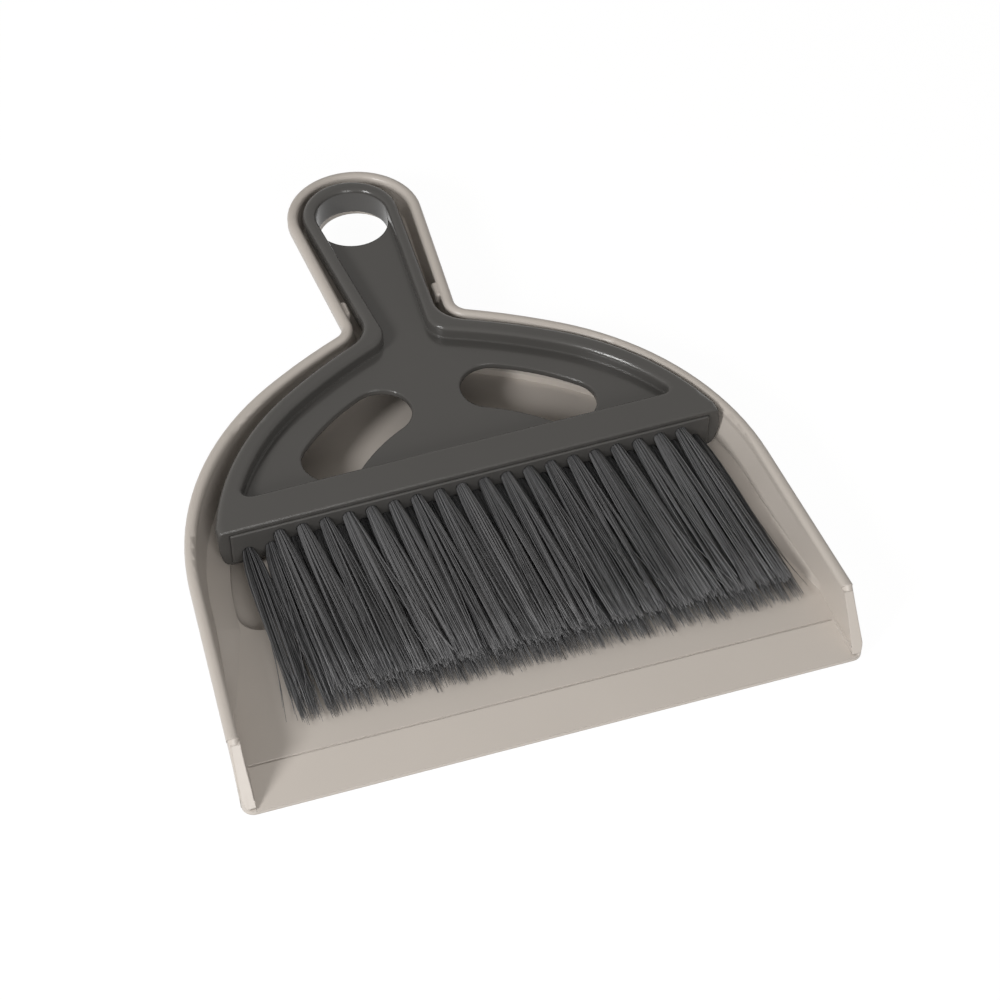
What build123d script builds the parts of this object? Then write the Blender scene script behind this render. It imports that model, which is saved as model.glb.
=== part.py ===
from build123d import *
import math
import os

# Dust pan with a whisk brush nested in it. Millimetres, +Z up, lip towards -Y.
# Worked out with Y = 0 at the lip, then moved so that the box is centred on the origin.

# plan of the pan's rim, right half, from the end of the handle round to the lip
END_Y, END_R = 244.1, 25.4        # round end of the handle
NECK_X, NECK_Y, NECK_R = 21.0, 182.1, 6.0
SHOULDER_TILT = 25.5              # degrees below level where the shoulder starts
BROAD_R, BROAD_TURN = 228.0, 8.7
ROUND_R = 106.0
FLARE_ANGLE = 87.25               # the sides spread a little towards the lip
LEDGE_Y, LEDGE_END_Y = 71.0, 28.5
RIM_Z = 20.6
RIM_W = 4.0
RIM_DEPTH = 3.6
OVERHANG = 1.2
KINK_Y = 14.9                     # the rim runs down to the lip from here

# pan section
FLOOR_Z, FLOOR_T = 4.0, 2.0
LEDGE_Z = 7.0
WELL_Z, WELL_Y, WELL_CORNER = 1.5, 68.5, 8.0
LEDGE_IN, LEDGE_OUT = 14.0, 6.2
CREASE_Y, LIP_T = 15.7, 1.2
SIDE_IN, SIDE_OUT = 99.8, 103.7
LIP_CORNER = 4.0
HANDLE_LOW, HANDLE_TOP = 8.5, 11.3
HANDLE_LOW_IN, TROUGH_IN = 4.2, 5.6   # insets of the handle at its underside and trough floor
PAN_HOLE_R = 13.9
NUB_X, NUB_Y0, NUB_Y1 = 16.0, 191.6, 199.0

# brush body
BRUSH_IN, RECESS_IN = 7.3, 14.2
BRUSH_TOP, BRUSH_LOW, WEB_TOP, WEB_T = 22.3, 11.6, 17.3, 2.2
FRONT_Y, BAR_Y, BLOCK_LOW, BLOCK_X = 99.7, 113.8, 6.0, 89.6
DRAFT, DRAFT_Z = 0.22, 18.5       # the outer wall leans in below this height
BRUSH_HOLE_Y, BRUSH_HOLE_R = 242.5, 13.5
GRIP_R, GRIP_LOW_Y, GRIP_LOW_R, GRIP_CORNER = 13.5, 170.0, 7.6, 9.0   # recess in the handle
KIDNEY_IN, KIDNEY_OUT = (20.4, 141.8), (42.3, 125.8)   # middles of the ends of each hole
KIDNEY_R, KIDNEY_BULGE = 11.0, 1.2
BRUSH_SHIFT, BRUSH_TURN = 2.2, 1.5   # it lies loose, a little turned in the pan

# tuft block and tufts
INSERT_X, INSERT_Z0, INSERT_Z1, INSERT_Y0, INSERT_Y1 = 85.5, 7.4, 20.1, 99.1, 111.6
FIT = 0.1
PITCH, TUFT_R, HOLE_R, HOLE_DEEP = 8.0, 2.05, 2.15, 8.5
UPPER_N, UPPER_OFF, UPPER_Z = 19, 3.0, 16.2
LOWER_N, LOWER_OFF, LOWER_Z = 21, 0.0, 11.2
TIP_RX, TIP_RZ = 3.7, 1.6
ANCHOR_W = 2.2
UPPER_TIP_Y, UPPER_TIP_Z = 31.8, 9.8
LOWER_TIP_Y, LOWER_TIP_Z = 25.5, 6.2

os.makedirs("parts", exist_ok=True)


def rim_points():
    """Points of the right half with their outward normals; the inset of each point
    along its normal gives every parallel outline."""
    end = Vector(0, END_Y)
    neck = Vector(NECK_X, NECK_Y)
    gap = neck - end
    th = math.atan2(gap.Y, gap.X) + math.acos(END_R / gap.length)
    n1 = Vector(math.cos(th), math.sin(th))
    t1 = end + n1 * END_R
    d1 = (neck - t1).normalized()
    al = math.radians(SHOULDER_TILT)
    d2 = Vector(math.cos(al), -math.sin(al))
    n2 = Vector(math.sin(al), math.cos(al))
    turn = math.atan2(d1.X * d2.Y - d1.Y * d2.X, d1.dot(d2))
    back = NECK_R * math.tan(turn / 2)
    a = neck - d1 * back
    b = neck + d2 * back
    nm = (n1 + n2).normalized()
    neck_c = a + n1 * NECK_R
    half = math.radians(45) + th / 2
    pts = {"p0": (Vector(0, END_Y + END_R), Vector(0, 1))}
    mid = Vector(math.cos(half), math.sin(half))
    pts["m1"] = (end + mid * END_R, mid)
    pts["t1"] = (t1, n1)
    pts["a"] = (a, n1)
    pts["m3"] = (neck_c - nm * NECK_R, nm)
    pts["b"] = (b, n2)
    c1 = b - n2 * BROAD_R
    ang = math.pi / 2 - al
    for name, step in (("m4", BROAD_TURN / 2), ("j", BROAD_TURN)):
        t = ang - math.radians(step)
        n = Vector(math.cos(t), math.sin(t))
        pts[name] = (c1 + n * BROAD_R, n)
    j, nj = pts["j"]
    c2 = j - nj * ROUND_R
    t0 = ang - math.radians(BROAD_TURN)
    t1a = math.radians(90 - FLARE_ANGLE)
    for name, t in (("m5", (t0 + t1a) / 2), ("s", t1a)):
        n = Vector(math.cos(t), math.sin(t))
        pts[name] = (c2 + n * ROUND_R, n)
    s, ns = pts["s"]
    run = Vector(ns.Y, -ns.X)
    for name, y in (("q1", LEDGE_Y), ("q2", LEDGE_END_Y), ("f", 0.0)):
        pts[name] = (s + run * ((s.Y - y) / -run.Y), ns)
    return pts, c1


POINTS, BROAD_C = rim_points()


def at(name, inset):
    p, n = POINTS[name]
    return (p.X - n.X * inset, p.Y - n.Y * inset)


def closed(half, z):
    """Both halves of an outline as one wire; half is a list of points, an arc's middle
    point given inside a tuple with its end."""
    edges = []
    for side in (1, -1):
        here = None
        for item in half:
            if here is None:
                here = item
                continue
            mid, end = item if isinstance(item[0], tuple) else (None, item)
            p = Vector(here[0] * side, here[1], z)
            q = Vector(end[0] * side, end[1], z)
            if mid is None:
                edges.append(Edge.make_line(p, q))
            else:
                m = Vector(mid[0] * side, mid[1], z)
                edges.append(Edge.make_three_point_arc(p, m, q))
            here = end
    last = half[-1]
    edges.append(Edge.make_line(Vector(last[0], last[1], z), Vector(-last[0], last[1], z)))
    return Wire(edges)


def full_outline(inset, z, front=0.0):
    """Handle and pan together, cut off straight at the front."""
    fx, fy = at("f", inset)
    qx, qy = at("q1", inset)
    x = qx + (fx - qx) * (qy - front) / (qy - fy)
    half = [at("p0", inset), (at("m1", inset), at("t1", inset)), at("a", inset),
            (at("m3", inset), at("b", inset)), (at("m4", inset), at("j", inset)),
            (at("m5", inset), at("s", inset)), (x, front)]
    return closed(half, z)


def pan_outline(inset, x_end, x_lip, z, front=0.0):
    """The pan without its handle. The shoulder arcs run on to the middle line."""
    r = BROAD_R - inset
    top = BROAD_C.Y + math.sqrt(r * r - BROAD_C.X ** 2)
    a0 = math.atan2(top - BROAD_C.Y, -BROAD_C.X)
    j = at("j", inset)
    a1 = math.atan2(j[1] - BROAD_C.Y, j[0] - BROAD_C.X)
    am = (a0 + a1) / 2
    mid = (BROAD_C.X + r * math.cos(am), BROAD_C.Y + r * math.sin(am))
    half = [(0.0, top), (mid, j), (at("m5", inset), at("s", inset))]
    half.append((at("q1", inset)[0], LEDGE_Y))
    half.append((x_end, LEDGE_END_Y))
    half.append((x_lip, front))
    return closed(half, z)


def prism(wire, height):
    return extrude(Face(wire), height, dir=(0, 0, 1))


def block(x0, x1, y0, y1, z0, z1):
    solid = Box(x1 - x0, y1 - y0, z1 - z0, align=(Align.MIN, Align.MIN, Align.MIN))
    return solid.moved(Location((x0, y0, z0)))


def side_profile(points, x0, x1):
    """A polygon in Y and Z, pushed along X."""
    wire = Wire.make_polygon([Vector(x0, y, z) for y, z in points], close=True)
    return extrude(Face(wire), x1 - x0, dir=(1, 0, 0))


def soften(solid, edges, radius):
    return solid.fillet(radius, list(edges))


def one(shape):
    solids = shape.solids()
    return max(solids, key=lambda s: s.volume)


def level_edges(shape, z):
    out = []
    for e in shape.edges():
        box = e.bounding_box()
        if abs(box.min.Z - z) < 1e-4 and abs(box.max.Z - z) < 1e-4:
            out.append(e)
    return out


SLOPE = math.atan2(RIM_Z - LIP_T, KINK_Y - 0.3)   # fall of the rim towards the lip


def behind_mitre(way, past=0.0):
    """Everything in front of (-1) or behind (1) the plane where level and sloping rim meet."""
    half = Box(400, 60, 120, align=(Align.CENTER, Align.MAX if way < 0 else Align.MIN, Align.CENTER))
    return half.moved(Location((0, KINK_Y + past, RIM_Z), (math.degrees(SLOPE) / 2, 0, 0)))


def slope_bead():
    """The rim's rounded bar, a little slimmer, running down the end of the right-hand wall."""
    run = (KINK_Y - 0.3) / math.cos(SLOPE)
    x1 = at("f", 0)[0] - (at("f", 0)[0] - at("q2", 0)[0]) * KINK_Y / LEDGE_END_Y
    bar = Box(RIM_W - 0.4, run + 8, RIM_DEPTH, align=(Align.MAX, Align.MAX, Align.MAX))
    long_edges = [e for e in bar.edges().filter_by(Axis.Y) if e.center().Z > -0.1]
    bar = soften(bar, long_edges, 1.7)
    bar = bar.moved(Location((-0.2, 4, -0.2)))
    bar = bar.moved(Location((x1, KINK_Y, RIM_Z), (math.degrees(SLOPE), 0, 0)))
    bar = bar - behind_mitre(1, 0.12)
    keep = prism(pan_outline(0, at("q2", 0)[0], SIDE_OUT + 0.2, 0.0), 40)
    return one(bar & keep)


def make_pan():
    # shell of the pan
    outer = Solid.make_loft([
        pan_outline(LEDGE_IN - 2.2, 102.4, SIDE_OUT, FLOOR_Z - FLOOR_T),
        pan_outline(LEDGE_OUT - 2.3, 102.6, SIDE_OUT, LEDGE_Z - 1.8),
        pan_outline(OVERHANG, 102.75, SIDE_OUT, RIM_Z - 1.9)], ruled=True)
    x_end, x_lip = at("q2", RIM_W)[0], at("f", RIM_W)[0]
    cavity = Solid.make_loft([
        pan_outline(LEDGE_IN, 99.5, SIDE_IN, FLOOR_Z, -1.0),
        pan_outline(LEDGE_OUT, 99.6, SIDE_IN + 0.05, LEDGE_Z, -1.0),
        pan_outline(RIM_W, x_end, x_lip, RIM_Z - RIM_DEPTH, -1.0)], ruled=True)
    cavity = cavity + prism(pan_outline(RIM_W, x_end, x_lip, RIM_Z - RIM_DEPTH, -1.0), 6)

    # handle trough
    zone = block(-26, 26, 176, 280, 0, 40)
    handle = Solid.make_loft([full_outline(HANDLE_LOW_IN + 1.4, HANDLE_LOW),
                              full_outline(HANDLE_LOW_IN + 0.4, HANDLE_LOW + 0.3),
                              full_outline(HANDLE_LOW_IN - 0.2, HANDLE_LOW + 1.2),
                              full_outline(OVERHANG, RIM_Z - 1.9)], ruled=True)
    handle = one(handle & zone)
    trough = Solid.make_loft([full_outline(TROUGH_IN, HANDLE_TOP),
                              full_outline(RIM_W, RIM_Z - RIM_DEPTH)], ruled=True)
    trough = trough + prism(full_outline(RIM_W, RIM_Z - RIM_DEPTH), 6)
    trough = trough & block(-26, 26, 150, 280, 0, 40)

    # rounded rim, level part
    ring = prism(full_outline(0, RIM_Z - RIM_DEPTH, KINK_Y), RIM_DEPTH)
    ring = ring - prism(full_outline(RIM_W, RIM_Z - RIM_DEPTH - 1, KINK_Y - 1), RIM_DEPTH + 2)
    ring = one(ring)
    top = [e for e in level_edges(ring, RIM_Z) if e.length > 5]
    ring = soften(ring, top, 1.85) - behind_mitre(-1)

    # well box under the back part, and the ramp
    well_out = prism(pan_outline(LEDGE_IN - 2.0, 92, 92, 0.0), FLOOR_Z - FLOOR_T + 0.3)
    well_out = one(well_out & block(-110, 110, WELL_Y - 2.2, 200, 0, 5))
    corners = [e for e in well_out.edges().filter_by(Axis.Z) if e.center().Y < WELL_Y]
    well_out = soften(well_out, corners, WELL_CORNER + 2)
    well_out = soften(well_out, level_edges(well_out, 0.0), 1.2)
    well = prism(pan_outline(LEDGE_IN, 90, 90, WELL_Z), FLOOR_Z - WELL_Z + 0.05)
    well = one(well & block(-110, 110, WELL_Y, 200, 0, 5))
    corners = [e for e in well.edges().filter_by(Axis.Z) if e.center().Y < WELL_Y + 1]
    well = soften(well, corners, WELL_CORNER)
    ramp = side_profile([(0, 0), (2.5, 0), (CREASE_Y + 1, 2.1), (CREASE_Y + 1, FLOOR_Z), (0, LIP_T + 0.1)],
                        -SIDE_OUT, SIDE_OUT)
    ramp = ramp & prism(pan_outline(LEDGE_IN - 2.2, 102.4, SIDE_OUT, 0.0), 6)
    above = side_profile([(-1, LIP_T - 0.18), (CREASE_Y, FLOOR_Z), (CREASE_Y, 9), (-1, 9)],
                         -SIDE_IN, SIDE_IN)
    taper = Wire.make_polygon([Vector(-98.6, CREASE_Y + 1, 0), Vector(98.6, CREASE_Y + 1, 0),
                               Vector(SIDE_IN, -2, 0), Vector(-SIDE_IN, -2, 0)], close=True)
    above = above & prism(taper, 10)

    pan = outer + handle + well_out + ramp
    pan = pan - cavity - trough - well - above
    pan = pan - side_profile([(-1, LIP_T), (0.3, LIP_T), (KINK_Y, RIM_Z), (KINK_Y, 40), (-1, 40)],
                             -110, 110)
    pan = pan - block(-98.4, 98.4, CREASE_Y - 0.3, CREASE_Y + 0.3, FLOOR_Z - 0.35, FLOOR_Z + 1)
    pan = pan + ring
    for side in (1, -1):
        pan = pan + (slope_bead() if side > 0 else slope_bead().mirror(Plane.YZ))
    for side in (1, -1):
        nub = block(0, 3.6, NUB_Y0, NUB_Y1, 15.0, 19.0)
        nub = soften(nub, nub.edges().filter_by(Axis.Z), 1.4)
        nub = soften(nub, level_edges(nub, 19.0), 0.9)
        nub = nub.moved(Location((NUB_X, 0, 0)))
        pan = pan + (nub if side > 0 else nub.mirror(Plane.YZ))
    hole = Cylinder(PAN_HOLE_R, 20).moved(Location((0, END_Y, 10)))
    pan = one(pan - hole)
    x = SIDE_OUT - LIP_CORNER
    corner = block(x, x + 10, -5, LIP_CORNER, -1, 30)
    corner = corner - Cylinder(LIP_CORNER, 60).moved(Location((x, LIP_CORNER, 0)))
    pan = one(pan - corner - corner.mirror(Plane.YZ))
    return pan


def discs(x0, y0, r0, x1, y1, r1, z, height):
    """Two discs and their common tangents."""
    length = math.hypot(x1 - x0, y1 - y0)
    ang = math.atan2(y1 - y0, x1 - x0)
    swing = math.acos((r0 - r1) / length)
    pts = []
    for s in (1, -1):
        t = ang + s * swing
        for x, y, r in ((x0, y0, r0), (x1, y1, r1)):
            pts.append(Vector(x + r * math.cos(t), y + r * math.sin(t), z))
    body = prism(Wire.make_polygon([pts[0], pts[1], pts[3], pts[2]], close=True), height)
    for x, y, r in ((x0, y0, r0), (x1, y1, r1)):
        body = body + Cylinder(r, height, align=(Align.CENTER, Align.CENTER, Align.MIN)).moved(
            Location((x, y, z)))
    return body


def kidney(z, height):
    """The right-hand kidney-shaped hole: a slot along an arc that bulges outwards."""
    a, b = Vector(*KIDNEY_IN), Vector(*KIDNEY_OUT)
    half = (b - a).length / 2
    bend = (half ** 2 + KIDNEY_BULGE ** 2) / (2 * KIDNEY_BULGE)
    along = (b - a).normalized()
    out = Vector(-along.Y, along.X)
    centre = (a + b) * 0.5 + out * (KIDNEY_BULGE - bend)
    ends = []
    for p, way in ((a, -1), (b, 1)):
        n = (p - centre).normalized()
        ends.append((p + n * KIDNEY_R, p + Vector(n.Y, -n.X) * KIDNEY_R * way, p - n * KIDNEY_R))
    far, near = centre + out * (bend + KIDNEY_R), centre + out * (bend - KIDNEY_R)
    lift = Vector(0, 0, z)
    arcs = [(ends[0][0], far, ends[1][0]), ends[1], (ends[1][2], near, ends[0][2]),
            (ends[0][2], ends[0][1], ends[0][0])]
    return prism(Wire([Edge.make_three_point_arc(*[p + lift for p in arc]) for arc in arcs]), height)


def near_kidney(p):
    """True for a point on the rim of either kidney-shaped hole."""
    mx, my = (KIDNEY_IN[0] + KIDNEY_OUT[0]) / 2, (KIDNEY_IN[1] + KIDNEY_OUT[1]) / 2
    return math.hypot(abs(p.X) - mx, p.Y - my) < 26.5


def drafted(inset, z0, z1):
    """The brush outline, drawn in a little towards the bottom so it nests in the pan."""
    low = full_outline(inset + DRAFT * (DRAFT_Z - z0), z0)
    high = full_outline(inset + DRAFT * (DRAFT_Z - z1), z1)
    return Solid.make_loft([low, high], ruled=True)


def make_brush():
    keep = block(-BLOCK_X, BLOCK_X, FRONT_Y, 280, 0, 40)
    bar_keep = block(-BLOCK_X, BLOCK_X, FRONT_Y, BAR_Y, 0, 40)
    body = one(drafted(BRUSH_IN, BRUSH_LOW, DRAFT_Z) & keep)
    bar = one(drafted(BRUSH_IN, BLOCK_LOW, DRAFT_Z) & bar_keep)
    ends = [e for e in level_edges(bar, BLOCK_LOW) if abs(e.center().X) > 80]
    bar = soften(bar, ends, 4.0)
    recess = prism(pan_outline(RECESS_IN, 80, 80, WEB_TOP), 10)
    recess = recess & block(-100, 100, BAR_Y, 280, 0, 40)
    recess = one(recess + discs(0, BRUSH_HOLE_Y, GRIP_R, 0, GRIP_LOW_Y, GRIP_LOW_R, WEB_TOP, 10))
    corners = [e for e in recess.edges().filter_by(Axis.Z) if e.center().Y < BAR_Y + 1]
    recess = soften(recess, corners, 3.0)
    corners = [e for e in recess.edges().filter_by(Axis.Z)
               if 165 < e.center().Y < 195 and 4 < abs(e.center().X) < 16]
    recess = soften(recess, corners, GRIP_CORNER)
    web_low = WEB_TOP - WEB_T
    under = drafted(BRUSH_IN + 2.2, BRUSH_LOW - 1, web_low)
    under = one(under & block(-100, 100, BAR_Y + 1.5, 226, 0, 40))
    crown = one(prism(full_outline(BRUSH_IN, DRAFT_Z), BRUSH_TOP - DRAFT_Z) & keep)
    rim = [e for e in level_edges(crown, BRUSH_TOP) if e.center().Y > FRONT_Y + 0.1]
    crown = soften(crown, rim, 2.8)
    front = [e for e in level_edges(crown, BRUSH_TOP) if e.center().Y < FRONT_Y + 0.1]
    crown = soften(crown, front, 0.7)
    brush = one(body + bar + crown - under)
    brush = one(brush - recess)
    lip = [e for e in level_edges(brush, BRUSH_TOP)
           if abs(e.center().X) < 79 and e.center().Y > BAR_Y - 0.1]
    brush = soften(brush, lip, 1.8)
    hole = kidney(web_low - 1, WEB_T + 2)
    brush = one(brush - hole - hole.mirror(Plane.YZ))
    edges = [e for e in level_edges(brush, WEB_TOP) if near_kidney(e.center())]
    brush = soften(brush, edges, 0.5)
    brush = brush - Cylinder(BRUSH_HOLE_R, 40).moved(Location((0, BRUSH_HOLE_Y, 15)))
    pocket = block(-INSERT_X - FIT, INSERT_X + FIT, FRONT_Y - 1, INSERT_Y1 + FIT,
                   INSERT_Z0 - FIT, INSERT_Z1 + FIT)
    return one(brush - pocket)


def tuft_places():
    upper = [(UPPER_OFF + (i - (UPPER_N - 1) / 2) * PITCH, UPPER_Z) for i in range(UPPER_N)]
    lower = [(LOWER_OFF + (i - (LOWER_N - 1) / 2) * PITCH, LOWER_Z) for i in range(LOWER_N)]
    return upper, lower


def make_insert():
    insert = block(-INSERT_X, INSERT_X, INSERT_Y0, INSERT_Y1, INSERT_Z0, INSERT_Z1)
    insert = soften(insert, insert.edges().filter_by(Axis.Y), 0.6)
    front = [e for e in insert.edges() if e.bounding_box().max.Y < INSERT_Y0 + 0.01]
    insert = soften(insert, front, 0.5)
    for row in tuft_places():
        for x, z in row:
            drill = Cylinder(HOLE_R, HOLE_DEEP + 1, rotation=(90, 0, 0))
            insert = insert - drill.moved(
                Location((x, INSERT_Y0 + HOLE_DEEP / 2 - 0.5, z)))
    return one(insert)


def make_anchor(x, z):
    """A short metal strip, pressed into the hole through the fold of the filaments."""
    y = INSERT_Y0 + HOLE_DEEP - 1.0
    return block(x - 0.2, x + 0.2, y - ANCHOR_W, y, z - 2.08, z + 2.08)


def tuft_ring(x, y, z, rx, rz):
    """One section of a tuft, a sixteen-sided ring across Y."""
    pts = []
    for k in range(16):
        a = math.radians(22.5 * k + 11.25)
        pts.append(Vector(x + rx * math.cos(a), y, z + rz * math.sin(a)))
    return Wire.make_polygon(pts, close=True)


def make_tuft(x, z, fan, tip_y, tip_z):
    """Filaments folded over the anchor, bunched in the hole and spreading to the tip."""
    root = INSERT_Y0 + HOLE_DEEP - 0.1
    face = INSERT_Y0 - 0.3
    foot = tuft_ring(x, root, z, TUFT_R, TUFT_R)
    mouth = tuft_ring(x, face, z, TUFT_R, TUFT_R)
    tip = tuft_ring(x + fan, tip_y - 0.026 * x, tip_z, TIP_RX, TIP_RZ)
    tuft = Solid.make_loft([foot, mouth], ruled=True) + Solid.make_loft([mouth, tip], ruled=True)
    slot = block(x - 0.3, x + 0.3, root - 0.9 - ANCHOR_W - 0.1, root - 0.8, z - 3, z + 3)
    return one(tuft - slot)


CENTRE = (END_Y + END_R) / 2


def settle(shape):
    """Brush parts: turned about the front of the bar, then moved with the whole set."""
    turned = Location((BRUSH_SHIFT, 100, 0)) * Location((0, 0, 0), (0, 0, BRUSH_TURN))
    turned = turned * Location((0, -100, 0))
    return shape.moved(Location((0, -CENTRE, 0)) * turned)


export_step(make_pan().moved(Location((0, -CENTRE, 0))), "parts/dustpan.step")
export_step(settle(make_brush()), "parts/brush_body.step")
export_step(settle(make_insert()), "parts/tuft_block.step")
upper_row, lower_row = tuft_places()
anchors = []
for i, (tx, tz) in enumerate(upper_row, 1):
    fan = 4.0 + 3.0 * (tx + 80) / 160
    tuft = make_tuft(tx, tz, fan, UPPER_TIP_Y, UPPER_TIP_Z)
    export_step(settle(tuft), f"parts/tuft_upper_{i:02d}.step")
    anchors.append(settle(make_anchor(tx, tz)))
for i, (tx, tz) in enumerate(lower_row, 1):
    fan = min(3.6, 1.2 * (i - 1))
    tuft = make_tuft(tx, tz, fan, LOWER_TIP_Y, LOWER_TIP_Z)
    export_step(settle(tuft), f"parts/tuft_lower_{i:02d}.step")
    anchors.append(settle(make_anchor(tx, tz)))
export_step(Compound(anchors), "parts/tuft_anchors.step")
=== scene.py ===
import math

import bpy
import numpy as np
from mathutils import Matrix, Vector


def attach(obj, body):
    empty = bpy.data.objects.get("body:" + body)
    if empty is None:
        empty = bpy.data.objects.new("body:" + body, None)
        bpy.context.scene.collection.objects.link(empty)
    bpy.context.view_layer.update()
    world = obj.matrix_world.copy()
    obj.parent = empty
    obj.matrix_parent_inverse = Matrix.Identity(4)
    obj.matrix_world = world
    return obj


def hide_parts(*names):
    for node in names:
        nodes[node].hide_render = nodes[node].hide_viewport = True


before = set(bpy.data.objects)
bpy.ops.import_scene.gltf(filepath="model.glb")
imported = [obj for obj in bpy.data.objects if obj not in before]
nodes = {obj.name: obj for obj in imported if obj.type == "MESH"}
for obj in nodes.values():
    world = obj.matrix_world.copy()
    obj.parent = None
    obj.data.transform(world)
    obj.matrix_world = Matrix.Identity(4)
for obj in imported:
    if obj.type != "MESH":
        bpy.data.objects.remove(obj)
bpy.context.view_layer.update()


# ---- camera --------------------------------------------------------------------
# The set lies flat with its lip towards the viewer, who stands to the left of it
# and looks down at about 47 degrees through a long lens.
def stand(thing, turn, rise, distance, aim=(0.0, 0.0, 0.0)):
    """Put a camera or a lamp at a distance from a point of the set, facing it."""
    turn, rise = math.radians(turn), math.radians(rise)
    away = Vector((math.sin(turn) * math.cos(rise), -math.cos(turn) * math.cos(rise),
                   math.sin(rise)))
    thing.location = Vector(aim) + away * distance
    thing.rotation_euler = (math.pi / 2 - rise, 0.0, turn)


camera = bpy.data.objects.new("camera", bpy.data.cameras.new("camera"))
bpy.context.scene.collection.objects.link(camera)
bpy.context.scene.camera = camera
camera.data.sensor_width = 36.0
camera.data.lens = 86.74
stand(camera, turn=-17.88, rise=46.59, distance=0.83335, aim=(0.01236, -0.03085, 0.0))


# ---- dust pan ------------------------------------------------------------------
# One injection moulding in warm light grey polypropylene. The mould is finely
# spark-eroded, so it has a satin grain, and sweeping has dulled the floor and lip.
class Lead:
    """A socket in a material's nodes. Arithmetic on it adds Math nodes."""

    def __init__(self, tree, socket=None):
        self.tree = tree
        self.socket = socket

    def node(self, kind, inputs=None, out=0, stops=None, **settings):
        made = self.tree.nodes.new("ShaderNode" + kind)
        for name, value in settings.items():
            setattr(made, name, value)
        if stops:
            ramp = made.color_ramp
            while len(ramp.elements) < len(stops):
                ramp.elements.new(0.5)
            for element, (position, grey) in zip(ramp.elements, stops):
                element.position = position
                element.color = (grey, grey, grey, 1.0)
        for key, value in (inputs or {}).items():
            if isinstance(value, Lead):
                self.tree.links.new(value.socket, made.inputs[key])
            else:
                made.inputs[key].default_value = value
        return Lead(self.tree, made.outputs[out])

    def __add__(self, other):
        return self.node("Math", {0: self, 1: other}, operation="ADD")

    def __mul__(self, other):
        return self.node("Math", {0: self, 1: other}, operation="MULTIPLY")

    __radd__ = __add__
    __rmul__ = __mul__

    def blend(self, low, high):
        """This value mixes from one colour to another."""
        return self.node("Mix", {0: self, 6: (*low, 1.0), 7: (*high, 1.0)}, out=2,
                         data_type="RGBA")

    def stretched(self, factors):
        return self.node("VectorMath", {0: self, 1: factors}, operation="MULTIPLY")

    def noise(self, scale, detail=2.0, roughness=0.5):
        return self.node("TexNoise", {"Vector": self, "Scale": scale, "Detail": detail,
                                      "Roughness": roughness})


def new_finish(name):
    """A material, its shader, and a lead with the place on the object in metres."""
    finish = bpy.data.materials.new(name)
    finish.use_nodes = True
    tree = finish.node_tree
    place = Lead(tree).node("TexCoord", out="Object")
    return finish, tree.nodes["Principled BSDF"], place


def feed(shader, socket, lead):
    lead.tree.links.new(lead.socket, shader.inputs[socket])


def tint(colour, factor):
    return tuple(min(1.0, c * factor) for c in colour)


def moulded(place, shader, grain_scale, grain_depth, edge_radius):
    """The grain of the mould, slow waves under it and the rounding of the edges."""
    wave_scale = grain_scale * 0.02
    wave_height = 6.0
    rounded = place.node("Bevel", {"Radius": edge_radius}, samples=4)
    relief = place.noise(grain_scale, 3.0, 0.6) + place.noise(wave_scale) * wave_height
    bump = place.node("Bump", {"Height": relief, "Distance": grain_depth, "Strength": 1.0,
                               "Normal": rounded})
    feed(shader, "Normal", bump)


def dress(node, finish):
    """A moulded piece keeps its shape and gets its finish."""
    nodes[node].data.materials.clear()
    nodes[node].data.materials.append(finish)


pan_grey = (0.585, 0.535, 0.485)
sweep_scale = (900.0, 14.0, 60.0)
scuffed_up_to, clean_from = 0.0045, 0.0075

pan_finish, pan_shader, place = new_finish("pan_plastic")
clouding = place.noise(28.0, 3.0)
feed(pan_shader, "Base Color", clouding.blend(tint(pan_grey, 0.97), tint(pan_grey, 1.03)))
swept = place.stretched(sweep_scale).noise(1.0, 3.0, 0.55)
swept = swept.node("ValToRGB", {0: swept}, stops=((0.60, 0.0), (0.74, 1.0)))
height = place.node("SeparateXYZ", {0: place}, out="Z")
low_down = height.node("MapRange", {"Value": height, "From Min": scuffed_up_to,
                                    "From Max": clean_from, "To Min": 1.0, "To Max": 0.0})
scuffs = swept * low_down
feed(pan_shader, "Roughness", place.noise(60.0, 3.0) * 0.12 + 0.28 + scuffs * 0.12)
moulded(place, pan_shader, grain_scale=3200.0, grain_depth=0.000010, edge_radius=0.0005)
pan_shader.inputs["IOR"].default_value = 1.49
dress("dustpan", pan_finish)

# ---- brush body ----------------------------------------------------------------
# The hand brush is a second moulding in dark grey polypropylene: a hollow shell
# with a raised border, two kidney-shaped holes and a deep front bar for the tufts.
brush_grey = (0.074, 0.071, 0.067)

brush_finish, brush_shader, place = new_finish("brush_plastic")
clouding = place.noise(35.0, 3.0)
feed(brush_shader, "Base Color", clouding.blend(tint(brush_grey, 0.95), tint(brush_grey, 1.06)))
feed(brush_shader, "Roughness", place.noise(80.0, 3.0) * 0.06 + 0.16)
moulded(place, brush_shader, grain_scale=3600.0, grain_depth=0.000003, edge_radius=0.0011)
dress("brush_body", brush_finish)

# ---- tuft block ----------------------------------------------------------------
# A solid bar of the same dark plastic, drilled with two rows of blind holes and
# pressed into the front of the shell. The drill leaves its face a little rougher.
block_finish, block_shader, place = new_finish("block_plastic")
clouding = place.noise(50.0, 3.0)
# Its colour is set a little darker than the shell's: painted shade for the shadow between the
# tufts.
feed(block_shader, "Base Color", clouding.blend(tint(brush_grey, 0.84), tint(brush_grey, 0.96)))
feed(block_shader, "Roughness", place.noise(120.0, 3.0) * 0.12 + 0.42)
moulded(place, block_shader, grain_scale=4200.0, grain_depth=0.000012, edge_radius=0.0006)
dress("tuft_block", block_finish)

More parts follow.
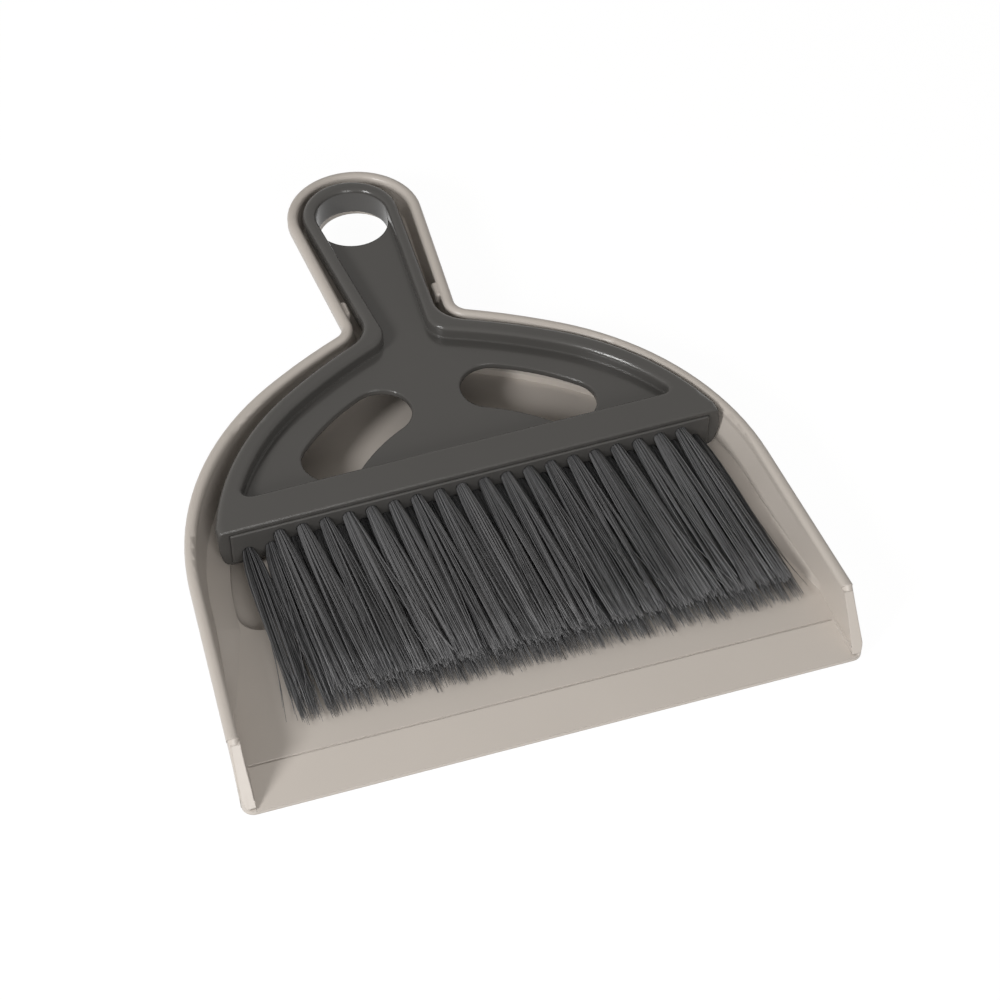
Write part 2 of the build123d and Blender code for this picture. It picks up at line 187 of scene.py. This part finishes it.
# ---- tufts ---------------------------------------------------------------------
# Each tuft is a bundle of grey nylon filaments, folded in half over its anchor and
# driven into a hole. Outside the block they lie towards the lip and splay a little.
brush_turn = math.radians(1.5)
across = np.array((math.cos(brush_turn), math.sin(brush_turn), 0.0))
backward = np.array((-math.sin(brush_turn), math.cos(brush_turn), 0.0))
upward = np.array((0.0, 0.0, 1.0))
hole_depth = 0.0084
bundle_radius = 0.00195
filament_radius = 0.00014
filament_sides = 4
filament_stations = (0.0, 0.05, 0.12, 0.22, 0.34, 0.48, 0.64, 0.82, 1.0)
pan_floor = 0.0042
dark_nylon = (0.034, 0.034, 0.036)
light_nylon = (0.230, 0.229, 0.233)

bristle_finish, bristle_shader, place = new_finish("bristle_nylon")
own_tint = place.node("Attribute", out="Fac", attribute_name="filament_tint")
feed(bristle_shader, "Base Color", own_tint.blend(dark_nylon, light_nylon))
feed(bristle_shader, "Roughness", 0.34 + own_tint * 0.10)


def tuft_ends(node):
    """Middle of a tuft's end in its hole, and of its tip."""
    end_slice = 0.0002
    points = np.array([v.co for v in nodes[node].data.vertices])
    along = points @ backward
    root = points[along > along.max() - end_slice].mean(0)
    tip = points[along < along.min() + end_slice].mean(0)
    return root, tip


# A filament's legs leave the anchor 1 mm ahead of the bottom of the hole, with a bend
# of up to 0.8 mm behind it, and those beside the anchor close up again past it.
leg_start = 0.0010
bend_depth = 0.0008
closing_up = 0.00025


def filament_path(rng, root, mouth, tip, side, start, lock, row, loose):
    """Points of one leg of a folded filament, from the fold to its tip."""
    fan_scatter, length_scatter = 0.13, 0.010
    bow_scatter, loose_bow, bow_gain = 0.00025, 0.0022, 1.6
    lift_scatter, loose_lift = 0.00018, 0.0010
    swell, swell_by = 1.25, 0.04
    clearance = 0.0012
    x0, z0 = start
    x0 = x0 * side
    sway, sink, lock_x = lock
    points = [root - backward * leg_start + across * x0 + upward * z0]
    x0 -= side * closing_up * (1.0 - abs(x0) / bundle_radius)
    fan = row["fan"] + rng.normal(0.0, fan_scatter)
    bow = rng.normal(0.0, bow_scatter) + loose * rng.normal(0.0, loose_bow)
    lift = rng.normal(0.0, lift_scatter) + abs(loose * rng.normal(0.0, loose_lift))
    reach = 1.0 + rng.normal(0.0, length_scatter) - rng.exponential(row["worn"])
    for t in filament_stations:
        t = t * reach
        middle = mouth + (tip - mouth) * t
        opened = 1.0 + fan * (1.0 - math.exp(-t / row["spread"]))
        gathered = x0 + (lock_x - x0) * 0.5 * t
        x = gathered * opened + sway * t ** 1.4 + bow * t * t * bow_gain
        swollen = swell - (swell - 1.0) * math.exp(-t / swell_by) + row["deepen"] * t
        z = z0 * swollen + sink * t ** 1.5 + lift * t * t
        point = middle + across * x + upward * z
        point[2] = max(point[2], pan_floor + clearance * (1.0 - t))
        points.append(point)
    return points


def skin(paths, tints, mean, taper):
    """Thin tubes along the paths, as vertices, faces and one tint for each vertex."""
    vertices, faces, shades = [], [], []
    middle_contrast = 0.35
    for path, shade in zip(paths, tints):
        line = np.array(path)
        run = np.gradient(line, axis=0)
        run /= np.linalg.norm(run, axis=1)[:, None]
        side = np.cross(run, upward)
        side /= np.linalg.norm(side, axis=1)[:, None]
        over = np.cross(side, run)
        rings = len(line)
        from_middle = np.abs(np.linspace(-1.0, 1.0, rings))
        contrast = middle_contrast + (1.0 - middle_contrast) * from_middle
        radii = np.full(rings, filament_radius)
        radii[[0, -1]] *= taper
        first = len(vertices)
        for centre, s, o, c, radius in zip(line, side, over, contrast, radii):
            for k in range(filament_sides):
                a = 2.0 * math.pi * k / filament_sides
                vertices.append(centre + (s * math.cos(a) + o * math.sin(a)) * radius)
                shades.append(mean + (shade - mean) * c)
        for r in range(rings - 1):
            for k in range(filament_sides):
                a = first + r * filament_sides + k
                b = first + r * filament_sides + (k + 1) % filament_sides
                faces.append((a, b, b + filament_sides, a + filament_sides))
        last = first + (rings - 1) * filament_sides
        faces.append(tuple(range(first, first + filament_sides))[::-1])
        faces.append(tuple(range(last, last + filament_sides)))
    return vertices, faces, shades


def make_tuft(node, seed, row):
    """A bundle of folded filaments in a tuft's hole. They lean together in locks."""
    lock_count = 9
    locks_across = 3.2
    lock_slant = 1.2
    lean_sideways, lean_down = 0.0010, 0.0005
    anchor_half = 0.00030
    tint_scatter = 0.24
    rng = np.random.default_rng(seed)
    root, tip = tuft_ends(node)
    mouth = root - backward * hole_depth
    leans = [(rng.normal(0.0, lean_sideways), rng.normal(0.0, lean_down))
             for _ in range(lock_count)]
    paths, tints = [], []
    for _ in range(row["folds"]):
        while True:
            x = rng.uniform(anchor_half, bundle_radius)
            z = rng.uniform(-bundle_radius, bundle_radius)
            if math.hypot(x, z) < bundle_radius:
                break
        legs = []
        for side in (-1.0, 1.0):
            slant = (z / bundle_radius + 1.0) * lock_slant
            number = int((x * side / bundle_radius + 1.0) * locks_across + slant)
            lock_x = ((number + 0.5 - slant) / locks_across - 1.0) * bundle_radius
            lock = (*leans[number % lock_count], lock_x)
            loose = 1.0 if rng.uniform() < row["loose"] else 0.0
            legs.append(filament_path(rng, root, mouth, tip, side, (x, z), lock, row, loose))
        bend = []
        for k in (1, 2, 3):
            a = math.pi * k / 4.0
            bend.append(root + across * (-x * math.cos(a)) + upward * z
                        + backward * (-leg_start + bend_depth * x / bundle_radius * math.sin(a)))
        paths.append(legs[0][::-1] + bend + legs[1])
        tints.append(float(np.clip(rng.normal(row["tint"], tint_scatter), 0.0, 1.0)))
    vertices, faces, shades = skin(paths, tints, row["tint"], row["taper"])
    mesh = bpy.data.meshes.new(node + "_filaments")
    mesh.from_pydata([tuple(v) for v in vertices], [], faces)
    mesh.polygons.foreach_set("use_smooth", [True] * len(mesh.polygons))
    mesh.attributes.new("filament_tint", "FLOAT", "POINT").data.foreach_set("value", shades)
    mesh.materials.append(bristle_finish)
    piece = bpy.data.objects.new(node + "_filaments", mesh)
    bpy.context.scene.collection.objects.link(piece)
    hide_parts(node)
    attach(piece, "brush")


# The lower row lies on the pan, so its tips are more worn and it splays at once.
# The lower row's darker tint is painted shade, for the shadow the upper row casts over it.
for row in ({"name": "upper", "count": 19, "folds": 88, "fan": 1.25, "spread": 0.30,
             "worn": 0.018, "loose": 0.05, "tint": 0.46, "deepen": -0.10, "taper": 1.0},
            {"name": "lower", "count": 21, "folds": 104, "fan": 1.30, "spread": 0.10,
             "worn": 0.110, "loose": 0.10, "tint": 0.30, "deepen": -0.35, "taper": 0.4}):
    for number in range(1, row["count"] + 1):
        make_tuft(f"tuft_{row['name']}_{number:02d}", number + 100 * row["count"], row)

# ---- tuft anchors --------------------------------------------------------------
# Short strips cut from flat aluminium wire. Each holds one tuft's fold down in its
# hole, so none of them shows on the finished brush.
anchor_finish, anchor_shader, place = new_finish("anchor_metal")
anchor_shader.inputs["Base Color"].default_value = (0.62, 0.62, 0.64, 1.0)
anchor_shader.inputs["Metallic"].default_value = 1.0
feed(anchor_shader, "Roughness", place.noise(900.0, 3.0) * 0.2 + 0.25)
dress("tuft_anchors", anchor_finish)

# ---- floor and light -----------------------------------------------------------
# A plain pale table top that reads as white and keeps a faint shadow under the set.
# A soft lamp stands on the left, a wider one in front, and the sky lights the set evenly. In
# reflections the sky shows brighter: a painted reflection that gives the plastics their sheen.
floor_half = 4
floor_level = -0.0001
table_white = 1.07
white_share = 0.90

floor_mesh = bpy.data.meshes.new("floor")
floor_mesh.from_pydata([(x * floor_half, y * floor_half, floor_level)
                        for x, y in ((-1, -1), (1, -1), (1, 1), (-1, 1))], [], [(0, 1, 2, 3)])
floor = bpy.data.objects.new("floor", floor_mesh)
bpy.context.scene.collection.objects.link(floor)
floor_finish = bpy.data.materials.new("floor")
floor_finish.use_nodes = True
tree = floor_finish.node_tree
tree.nodes.remove(tree.nodes["Principled BSDF"])
start = Lead(tree)
seen = start.node("LightPath", out="Is Camera Ray")
seen = seen + start.node("LightPath", out="Is Glossy Ray")
seen = seen + start.node("LightPath", out="Is Transmission Ray")
pale = start.node("BsdfDiffuse", {"Color": (0.72, 0.71, 0.70, 1.0)})
glow = start.node("Emission", {"Color": (1.0, 1.0, 1.0, 1.0), "Strength": table_white})
table_top = start.node("MixShader", {0: seen * white_share, 1: pale, 2: glow})
tree.links.new(table_top.socket, tree.nodes["Material Output"].inputs["Surface"])
floor_mesh.materials.append(floor_finish)

sky_strength = 0.26
# Painted reflection: glossy rays see this brighter sky, not the one that lights the set.
mirrored_strength = 0.71
white_strength = 1.0

world = bpy.data.worlds.new("studio")
bpy.context.scene.world = world
world.use_nodes = True
sky = world.node_tree.nodes["Background"]
start = Lead(world.node_tree)
seen = start.node("LightPath", out="Is Camera Ray")
seen = seen + start.node("LightPath", out="Is Transmission Ray")
mirrored = start.node("LightPath", out="Is Glossy Ray")
feed(sky, "Strength", seen * (white_strength - sky_strength)
     + mirrored * (mirrored_strength - sky_strength) + sky_strength)
sky.inputs["Color"].default_value = (1.0, 0.97, 0.93, 1.0)

for name, size, energy, turn, rise, distance in (
        ("key_lamp", 0.28, 6.3, -67.0, 34.0, 1.1),
        ("front_lamp", 0.60, 5.7, -2.0, 24.0, 1.3)):
    lamp = bpy.data.objects.new(name, bpy.data.lights.new(name, "AREA"))
    bpy.context.scene.collection.objects.link(lamp)
    lamp.data.shape = "DISK"
    lamp.data.size = size
    lamp.data.energy = energy
    stand(lamp, turn, rise, distance)

bpy.context.scene.view_settings.view_transform = "Standard"
